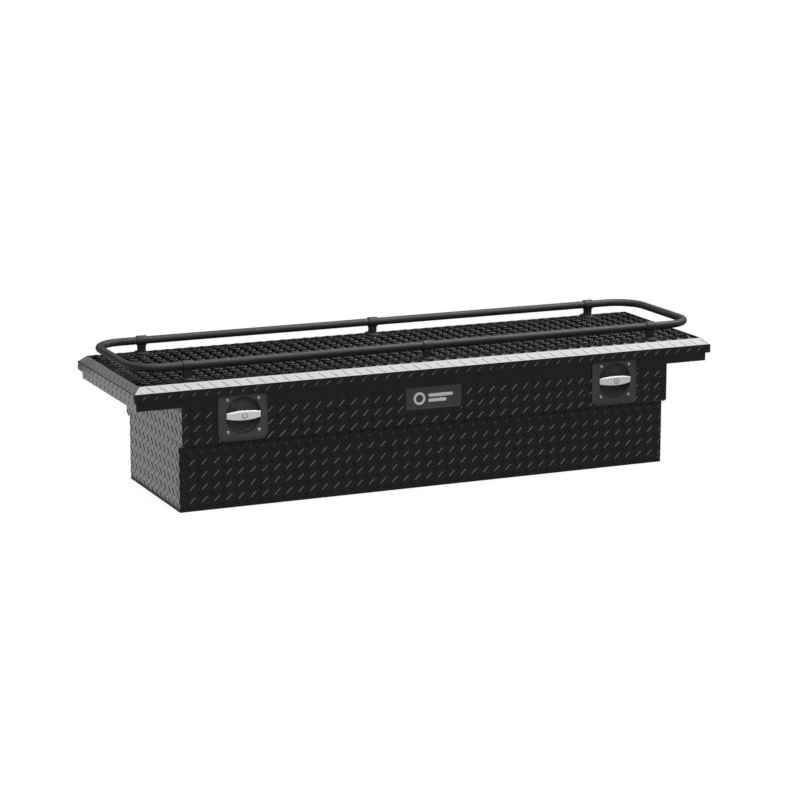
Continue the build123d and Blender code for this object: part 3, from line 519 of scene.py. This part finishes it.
up = Vector((0, 0, 1))
for across, outward, reach, out in (
    (Vector((1, 0, 0)), Vector((0, -1, 0)), lid_high[0], lid_high[1]),
    (Vector((-1, 0, 0)), Vector((0, 1, 0)), lid_high[0], lid_high[1]),
    (Vector((0, 1, 0)), Vector((1, 0, 0)), lid_high[1], lid_high[0]),
    (Vector((0, -1, 0)), Vector((-1, 0, 0)), lid_high[1], lid_high[0]),
):
    slope = up * bevel_drop - outward * bevel_run
    lid_fields.append(tread_field(
        outward * out + up * lid_low[2], across, up, cut_edge, skirt_height - cut_edge,
        straight(reach - cut_edge), (0.0, skirt_height * skirt_row_share),
        hinge_rivets if outward.y > 0 else ()))
    lid_fields.append(tread_field(
        outward * out + up * bevel_z, across, slope.normalized(), cut_edge, bevel_width - cut_edge,
        bevel_half(reach), (0.0, (bevel_width - lug_pitch) / 2), press=bevel_press))
mesh_piece("lid_lugs", lid_fields, black_tread, "lid")


# Under the lid's skin: closed-cell foam, cut from board, and a liner of mill-finish aluminium sheet
# that closes it. The liner shows the rolling direction along the box, and light handling scratches.
streaks, streak_in, streak_out = new_group(
    "rolled_streaks", [("Fineness", 900.0), ("Stretch", 0.012), ("Scratch Scale", 30.0)],
    ["Height", "Streak", "Scratches"]
)
streak_place = add(streaks, "ShaderNodeTexCoord")
squeeze = add(streaks, "ShaderNodeCombineXYZ", Y=1.0, Z=1.0)
stretched = add(streaks, "ShaderNodeVectorMath", operation="MULTIPLY")
lines = add(streaks, "ShaderNodeTexNoise", Detail=3.0, Roughness=0.6)
tilted = add(streaks, "ShaderNodeMapping", Rotation=(0.4, 0.9, 0.7), Scale=(0.08, 1.0, 1.0))
marks = add(streaks, "ShaderNodeTexVoronoi", feature="DISTANCE_TO_EDGE")
thin_marks = add(streaks, "ShaderNodeMapRange", From_Min=0.012, From_Max=0.0)
wire(streaks,
     (streak_in, "Stretch", squeeze, "X"),
     (streak_place, "Object", stretched, 0),
     (squeeze, 0, stretched, 1),
     (stretched, 0, lines, "Vector"),
     (streak_in, "Fineness", lines, "Scale"),
     (streak_place, "Object", tilted, "Vector"),
     (tilted, 0, marks, "Vector"),
     (streak_in, "Scratch Scale", marks, "Scale"),
     (marks, "Distance", thin_marks, "Value"),
     (lines, "Fac", streak_out, "Height"),
     (lines, "Fac", streak_out, "Streak"),
     (thin_marks, "Result", streak_out, "Scratches"))


def bare_metal(name, dark, light, gloss, fineness, stretch, scratch_scale,
               scratch_depth=0.25, metallic=1.0):
    """Bare metal with a grain along X: streaked colour and gloss, and a few fine scratches."""
    material, tree, shader = new_material(name, Metallic=metallic)
    grain = place_group(tree, streaks, Fineness=fineness, Stretch=stretch, Scratch_Scale=scratch_scale)
    tint = colour_mix(tree, dark, light)
    rough = add(tree, "ShaderNodeMapRange", From_Min=0.3, From_Max=0.7, To_Min=gloss[0], To_Max=gloss[1])
    worn = add(tree, "ShaderNodeMath", operation="MULTIPLY_ADD")
    worn.inputs[1].default_value = scratch_depth
    bump = add(tree, "ShaderNodeBump", Strength=0.25, Distance=0.00006)
    wire(tree,
         (grain, "Streak", tint, "Factor"),
         (tint, mixed_colour, shader, "Base Color"),
         (grain, "Streak", rough, "Value"),
         (grain, "Scratches", worn, 0),
         (rough, "Result", worn, 2),
         (worn, 0, shader, "Roughness"),
         (grain, "Height", bump, "Height"),
         (bump, "Normal", shader, "Normal"))
    return material


mill_aluminium = bare_metal("mill_aluminium", grey(0.60), grey(0.74), gloss=(0.34, 0.44), fineness=700.0,
                            stretch=0.02, scratch_scale=75.0, scratch_depth=0.05)
paint(mill_aluminium, "lid_liner")

foam_board, foam_tree, foam_shader = new_material("foam_board", Roughness=0.95)
foam_cells = add(foam_tree, "ShaderNodeTexVoronoi", Scale=900.0)
foam_place = add(foam_tree, "ShaderNodeTexCoord")
foam_tint = colour_mix(foam_tree, (0.55, 0.52, 0.42, 1.0), (0.78, 0.75, 0.64, 1.0))
foam_bump = add(foam_tree, "ShaderNodeBump", Strength=0.6, Distance=0.0004)
wire(foam_tree,
     (foam_place, "Object", foam_cells, "Vector"),
     (foam_cells, "Distance", foam_tint, "Factor"),
     (foam_tint, mixed_colour, foam_shader, "Base Color"),
     (foam_cells, "Distance", foam_bump, "Height"),
     (foam_bump, "Normal", foam_shader, "Normal"))
paint(foam_board, "lid_core")


# The weather seal on the rim and the gaskets behind the locks: black cellular rubber,
# matt, with a dusty bloom and a closed skin.
seal_rubber, rubber_tree, rubber_shader = new_material("seal_rubber", Specular_IOR_Level=0.3)
rubber_grain = place_group(rubber_tree, coat_grain, Grain_Scale=1400.0, Mottle_Scale=40.0)
rubber_tint = colour_mix(rubber_tree, grey(0.010), grey(0.028))
rubber_rough = add(rubber_tree, "ShaderNodeMapRange", To_Min=0.65, To_Max=0.92)
rubber_bump = add(rubber_tree, "ShaderNodeBump", Strength=0.5, Distance=0.0002)
wire(rubber_tree,
     (rubber_grain, "Mottle", rubber_tint, "Factor"),
     (rubber_tint, mixed_colour, rubber_shader, "Base Color"),
     (rubber_grain, "Mottle", rubber_rough, "Value"),
     (rubber_rough, "Result", rubber_shader, "Roughness"),
     (rubber_grain, "Height", rubber_bump, "Height"),
     (rubber_bump, "Normal", rubber_shader, "Normal"))
paint(seal_rubber, "weather_seal", "lock_gasket_left", "lock_gasket_right")


# The continuous hinge: rolled steel leaves round a pin, black-coated, and riveted to the rear wall
# and the lid's skirt. The rivets are black too, and rubbed brighter, as are the nameplate's.
hinge_black = painted("hinge_black", grey(0.010), grey(0.12), gloss=(0.36, 0.50), grain_scale=1200.0,
                      grain_depth=0.00008, wear=0.55, mottle=30.0)
rivet_black = painted("rivet_black", grey(0.012), grey(0.20), gloss=(0.28, 0.40), grain_scale=1500.0,
                      grain_depth=0.00006, wear=0.45, mottle=60.0)
paint(hinge_black, "hinge_body_leaf", "hinge_lid_leaf", "hinge_pin")
paint(rivet_black, "hinge_body_rivets", "hinge_lid_rivets", "nameplate_rivets")


# The cargo rail: aluminium tube in a satin black coat, in two halves that meet under the middle
# posts, with cast posts bolted down through the lid and screws that grip the tube.
rail_coat = painted("rail_coat", grey(0.015), grey(0.07), gloss=(0.56, 0.64), grain_scale=1100.0,
                    grain_depth=0.00012, wear=0.20, mottle=12.0, gloss_level=0.28)
bolt_black = painted("bolt_black", grey(0.016), grey(0.25), gloss=(0.34, 0.46), grain_scale=1800.0,
                     grain_depth=0.00005, wear=0.45, mottle=80.0)
paint(rail_coat, "rail_tube_left", "rail_tube_right", *post_names)
paint(bolt_black, "rail_post_bolts", "rail_set_screws")

# Zinc-plated steel: the sleeves in the rail, the lock screws, the nuts, cams, strikers, strut brackets
# and the rivets that hold the lid's brackets. The plating shows a faint spangle of grey and straw.
zinc_plate, zinc_tree, zinc_shader = new_material("zinc_plate", Metallic=1.0)
zinc_place = add(zinc_tree, "ShaderNodeTexCoord")
spangle = add(zinc_tree, "ShaderNodeTexVoronoi", Scale=260.0)
spangle_tint = colour_mix(zinc_tree, (0.50, 0.51, 0.53, 1.0), (0.70, 0.69, 0.64, 1.0))
spangle_rough = add(zinc_tree, "ShaderNodeMapRange", To_Min=0.28, To_Max=0.45)
zinc_bump = add(zinc_tree, "ShaderNodeBump", Strength=0.15, Distance=0.00008)
spangle_level = add(zinc_tree, "ShaderNodeSeparateColor")
wire(zinc_tree,
     (zinc_place, "Object", spangle, "Vector"),
     (spangle, "Color", spangle_level, 0),
     (spangle_level, 0, spangle_tint, "Factor"),
     (spangle_tint, mixed_colour, zinc_shader, "Base Color"),
     (spangle_level, 1, spangle_rough, "Value"),
     (spangle_rough, "Result", zinc_shader, "Roughness"),
     (spangle, "Distance", zinc_bump, "Height"),
     (zinc_bump, "Normal", zinc_shader, "Normal"))
ends = ("left", "right")
paint(zinc_plate, "rail_splices", "lock_screws", "lock_nuts", "lid_bracket_rivets",
      *[f"{part}_{end}" for end in ends
        for part in ("cam_nut", "latch_cam", "lid_striker", "strut_foot_bracket", "strut_head_bracket")])

# Lock housings: mouldings with a fine-textured dark grey surface, screwed through the front wall,
# with washers of the same finish round the handles' shanks.
housing_coat = painted("housing_coat", grey(0.047), grey(0.07), gloss=(0.50, 0.60), grain_scale=1600.0,
                       grain_depth=0.00015, wear=0.20, mottle=20.0, shade_reach=0.008)
paint(housing_coat, *[f"{part}_{end}" for end in ends for part in ("lock_housing", "hub_washer")])

# Turning handles and key plugs: stainless steel, brushed along the bar. A handle turns in its
# housing, and its plug turns in the handle.
brushed_stainless = bare_metal("brushed_stainless", grey(0.80), grey(0.93), gloss=(0.42, 0.52),
                               fineness=2600.0, stretch=0.03, scratch_scale=45.0, metallic=0.42)
paint(brushed_stainless, *[f"{part}_{end}" for end in ends for part in ("turning_handle", "lock_plug")])

# Round each key plug lies a thin black rubber ring, pressed into the handle, and a dark strip fills the
# keyhole.
# Both are painted shade: dark pieces standing for the shadow gap round the plug and the dark of the
# keyhole.
shade_ring_outer, shade_ring_inner = 0.0077, 0.0061
shade_ring_sides = 40
shade_ring_chamfer = 0.0003
shade_ring_sunk, shade_ring_proud = 0.0001, 0.0003
plug_proud = 0.0005
shade_strip_half_x, shade_strip_half_z = 0.00066, 0.0037
shade_strip_corner = 0.0006
shade_strip_corner_steps = 3
shade_strip_chamfer = 0.0001
shade_strip_back, shade_strip_front = 0.0030, 0.0006


def relief(outline, inset, y_back, y_front, hole=()):
    """Raised shape facing -Y: an (x, z) outline with a chamfer, closed or with a hole of as many points."""
    def at(points, y, shrink):
        return [(x - shrink * nx, y, z - shrink * nz) for x, z, nx, nz in points]

    rings = [at(outline, y_back, 0.0), at(outline, y_front + inset, 0.0), at(outline, y_front, inset)]
    if hole:
        rings += [at(hole, y_front, -inset), at(hole, y_front + inset, 0.0), at(hole, y_back, 0.0)]
    count = len(outline)
    verts = [point for ring in rings for point in ring]
    faces = []
    for ring in range(len(rings) - 1):
        for k in range(count):
            a, b = ring * count + k, ring * count + (k + 1) % count
            faces.append((a, b, b + count, a + count))
    if not hole:
        faces.append(tuple(range(2 * count, 3 * count)))
    return verts, faces


def rounded_box(cx, cz, half_x, half_z, radius, steps=6):
    """Rounded rectangle as (x, z, outward x, outward z), seen from -Y and running counter-clockwise."""
    points = []
    for corner, (sx, sz) in enumerate(((1, 1), (-1, 1), (-1, -1), (1, -1))):
        for k in range(steps + 1):
            angle = math.pi / 2 * (corner + k / steps)
            nx, nz = math.cos(angle), math.sin(angle)
            x = cx + sx * (half_x - radius) + radius * nx
            z = cz + sz * (half_z - radius) + radius * nz
            points.append((x, z, nx, nz))
    return points


def ring_outline(cx, cz, radius, sides):
    """Circle in the same form as rounded_box."""
    angles = [2 * math.pi * k / sides for k in range(sides)]
    return [(cx + radius * math.cos(a), cz + radius * math.sin(a), math.cos(a), math.sin(a))
            for a in angles]


for end in ends:
    plug_low, plug_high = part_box(f"lock_plug_{end}")
    plug_x, plug_z = (plug_low[0] + plug_high[0]) / 2, (plug_low[2] + plug_high[2]) / 2
    bar_front = plug_low[1] + plug_proud
    # Painted shade: the ring stands for the shadow gap round the plug, the strip for the dark keyhole.
    mesh_piece(f"plug_shade_ring_{end}", [
        relief(ring_outline(plug_x, plug_z, shade_ring_outer, shade_ring_sides), shade_ring_chamfer,
               bar_front + shade_ring_sunk, bar_front - shade_ring_proud,
               ring_outline(plug_x, plug_z, shade_ring_inner, shade_ring_sides)),
    ], seal_rubber, f"handle_{end}")
    mesh_piece(f"keyhole_shade_strip_{end}", [
        relief(rounded_box(plug_x, plug_z, shade_strip_half_x, shade_strip_half_z, shade_strip_corner,
                           shade_strip_corner_steps),
               shade_strip_chamfer, plug_low[1] + shade_strip_back, plug_low[1] + shade_strip_front),
    ], seal_rubber, f"key_plug_{end}")

# Gas struts: gloss black steel cylinders, each with a ground and chromed rod. Each stands on the stud
# of its foot bracket and carries the lid by its head bracket.
strut_paint = painted("strut_paint", grey(0.008), grey(0.10), gloss=(0.12, 0.22), grain_scale=500.0,
                      grain_depth=0.00008, wear=0.2, mottle=25.0)
chrome_rod = bare_metal("chrome_rod", grey(0.74), grey(0.82), gloss=(0.06, 0.12), fineness=3000.0,
                        stretch=1.0, scratch_scale=60.0, scratch_depth=0.10)
paint(strut_paint, *[f"{part}_{end}" for end in ends for part in ("strut_cylinder", "strut_gland")])
paint(chrome_rod, *[f"strut_rod_{end}" for end in ends])

# Nameplate: satin dark grey plate, riveted on, with a raised border and a plain badge in bare metal:
# a ring beside two bars.
plate_coat = painted("plate_coat", grey(0.044), grey(0.10), gloss=(0.45, 0.55), grain_scale=1500.0,
                     grain_depth=0.00006, wear=0.3, mottle=25.0)
badge_metal = bare_metal("badge_metal", grey(0.66, 0.03), grey(0.80, 0.03), gloss=(0.38, 0.50),
                         fineness=1800.0, stretch=0.05, scratch_scale=60.0, metallic=0.4)
paint(plate_coat, "nameplate")
plate_low, plate_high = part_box("nameplate")
plate_front = plate_low[1]
plate_x, plate_z = (plate_low[0] + plate_high[0]) / 2, (plate_low[2] + plate_high[2]) / 2
plate_half_x, plate_half_z = (plate_high[0] - plate_low[0]) / 2, (plate_high[2] - plate_low[2]) / 2
relief_sunk = 0.0001
relief_back = plate_front + relief_sunk

border_inset = 0.0015
border_width = 0.0022
border_proud = 0.0008
border_chamfer = 0.0003
border_corner, border_inner_corner = 0.0030, 0.0012
mesh_piece("nameplate_border", [
    relief(rounded_box(plate_x, plate_z, plate_half_x - border_inset, plate_half_z - border_inset,
                       border_corner),
           border_chamfer, relief_back, plate_front - border_proud,
           rounded_box(plate_x, plate_z, plate_half_x - border_inset - border_width,
                       plate_half_z - border_inset - border_width, border_inner_corner)),
], plate_coat, "box")

badge_chamfer = 0.0002
badge_proud = 0.0007
badge_front = plate_front - badge_proud
badge_ring_offset = 0.044
badge_ring_x = plate_x - badge_ring_offset
badge_ring_outer, badge_ring_inner = 0.0180, 0.0112
badge_ring_sides = 42
bar_half_height = 0.0047
bar_corner = 0.0044
bars = ((0.021, 0.0072, 0.0380), (0.011, -0.0072, 0.0280))
mesh_piece("nameplate_badge", [
    relief(ring_outline(badge_ring_x, plate_z, badge_ring_outer, badge_ring_sides), badge_chamfer,
           relief_back, badge_front,
           ring_outline(badge_ring_x, plate_z, badge_ring_inner, badge_ring_sides)),
] + [
    relief(rounded_box(plate_x + bar_x, plate_z + bar_z, bar_half, bar_half_height, bar_corner),
           badge_chamfer, relief_back, badge_front) for bar_x, bar_z, bar_half in bars
], badge_metal, "box")
